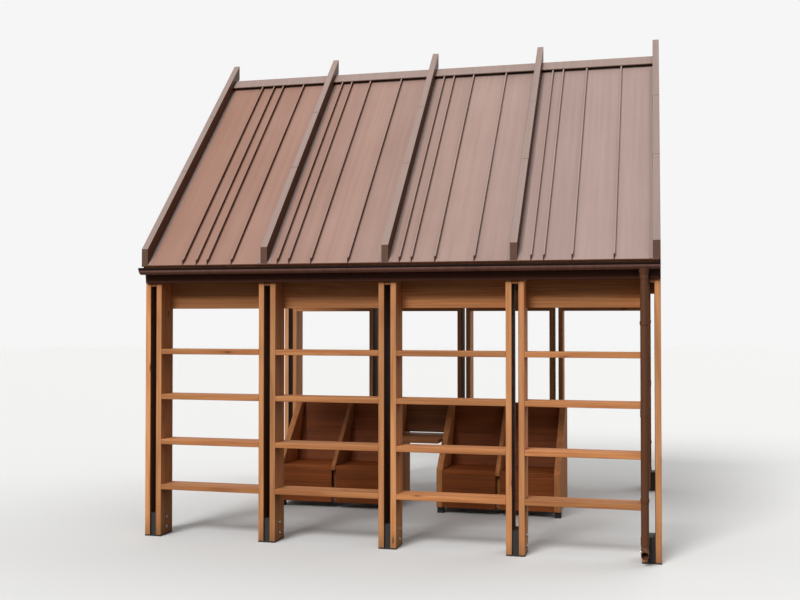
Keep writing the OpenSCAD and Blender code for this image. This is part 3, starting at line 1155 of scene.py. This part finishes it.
class SHELTER_OT_stage(Operator):
    """Floor, light and camera"""

    bl_idname = "shelter.stage"
    bl_label = "Stage"

    def execute(self, context):
        stage = context.scene.shelter_stage
        self.floor(context.scene, stage)
        self.light(context.scene, stage)
        self.camera(context.scene, stage)
        return {"FINISHED"}

    def floor(self, scene, stage):
        """A round floor that looks pale and throws little colour back on the building."""
        bm = bmesh.new()
        bmesh.ops.create_circle(bm, cap_ends=True, segments=64, radius=stage.floor_r)
        mesh = bpy.data.meshes.new("floor")
        bm.to_mesh(mesh)
        bm.free()
        floor = bpy.data.objects.new("floor", mesh)
        scene.collection.objects.link(floor)
        shade = Shade(bpy.data.materials.new("floor"))
        seen = shade.node("ShaderNodeLightPath", output="Is Camera Ray")
        shade.surface(
            base_color=shade.mix(seen, stage.floor_bounce, stage.floor_colour), roughness=0.9
        )
        mesh.materials.append(shade.owner)
        floor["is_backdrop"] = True

    def light(self, scene, stage):
        """A pale background where it is seen or mirrored, a soft sky and two far lamps."""
        scene.world = bpy.data.worlds.new("plain light")
        shade = Shade(scene.world)
        seen, glossy, through = (
            shade.node("ShaderNodeLightPath", output=f"Is {ray} Ray")
            for ray in ("Camera", "Glossy", "Transmission")
        )
        seen = seen.maths("MAXIMUM", seen, glossy)
        seen = seen.maths("MAXIMUM", seen, through)
        height = shade.split(shade.node("ShaderNodeTexCoord", output="Generated"))[2]
        sky = shade.node(
            "ShaderNodeMapRange",
            None,
            {"Value": height, "To Min": stage.sky_low, "To Max": stage.sky_high},
        )
        strength = shade.node(
            "ShaderNodeMapRange", None, {"Value": seen, "To Min": sky, "To Max": stage.backdrop}
        )
        background = shade.tree.nodes["Background"].inputs
        shade.feed(background["Color"], (1.0, 1.0, 1.0, 1.0))
        shade.feed(background["Strength"], strength)
        self.lamp(scene, "large soft lamp", stage.sun, stage.sun_spread, stage.sun_way)
        self.lamp(scene, "soft lamp behind", stage.back_lamp, stage.back_spread, stage.back_way)
        scene.view_settings.view_transform = "Standard"

    def lamp(self, scene, name, strength, spread, direction):
        """A far lamp that shines in a direction, with soft shadows."""
        light = bpy.data.lights.new(name, "SUN")
        light.energy = strength
        light.angle = spread
        holder = bpy.data.objects.new(name, light)
        holder.rotation_euler = Vector(direction).to_track_quat("-Z", "Y").to_euler()
        scene.collection.objects.link(holder)

    def camera(self, scene, stage):
        """A camera at the eye that looks at the target."""
        camera = bpy.data.cameras.new("camera")
        camera.lens = stage.lens
        camera.sensor_width = 36.0
        holder = bpy.data.objects.new("camera", camera)
        holder.location = stage.eye
        look = Vector(stage.target) - Vector(stage.eye)
        holder.rotation_euler = look.to_track_quat("-Z", "Y").to_euler()
        scene.collection.objects.link(holder)
        scene.camera = holder


class SHELTER_PT_panel(Panel):
    """Lists the pieces of the shelter"""

    bl_idname = "SHELTER_PT_panel"
    bl_label = "Waiting shelter"
    bl_space_type = "VIEW_3D"
    bl_region_type = "UI"
    bl_category = "Shelter"

    def draw(self, context):
        for operator in OPERATORS:
            self.layout.operator(operator.bl_idname)
        for group in GROUPS:
            settings = getattr(context.scene, group)
            box = self.layout.box()
            for name in settings.bl_rna.properties.keys():
                if name not in ("name", "rna_type"):
                    box.prop(settings, name)


OPERATORS = (
    SHELTER_OT_frames,
    SHELTER_OT_blocks,
    SHELTER_OT_rails,
    SHELTER_OT_roof_timber,
    SHELTER_OT_roof_metal,
    SHELTER_OT_edges,
    SHELTER_OT_rainwater,
    SHELTER_OT_bolts,
    SHELTER_OT_benches,
    SHELTER_OT_stage,
)
GROUPS = {
    "shelter_timber": TimberSettings,
    "shelter_metal": MetalSettings,
    "shelter_fixing": FixingSettings,
    "shelter_stage": StageSettings,
}


def register():
    for cls in (*GROUPS.values(), *OPERATORS, SHELTER_PT_panel):
        bpy.utils.register_class(cls)
    for name, cls in GROUPS.items():
        setattr(bpy.types.Scene, name, PointerProperty(type=cls))


def unregister():
    for name in GROUPS:
        delattr(bpy.types.Scene, name)
    for cls in (SHELTER_PT_panel, *reversed(OPERATORS), *reversed(GROUPS.values())):
        bpy.utils.unregister_class(cls)


def main():
    register()
    for operator in OPERATORS:
        group, name = operator.bl_idname.split(".")
        getattr(getattr(bpy.ops, group), name)()
    sizes = {
        "cad": [list(frame_low), list(frame_high)],
        "visual": [list(corner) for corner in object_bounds()],
    }


if __name__ == "__main__":
    main()
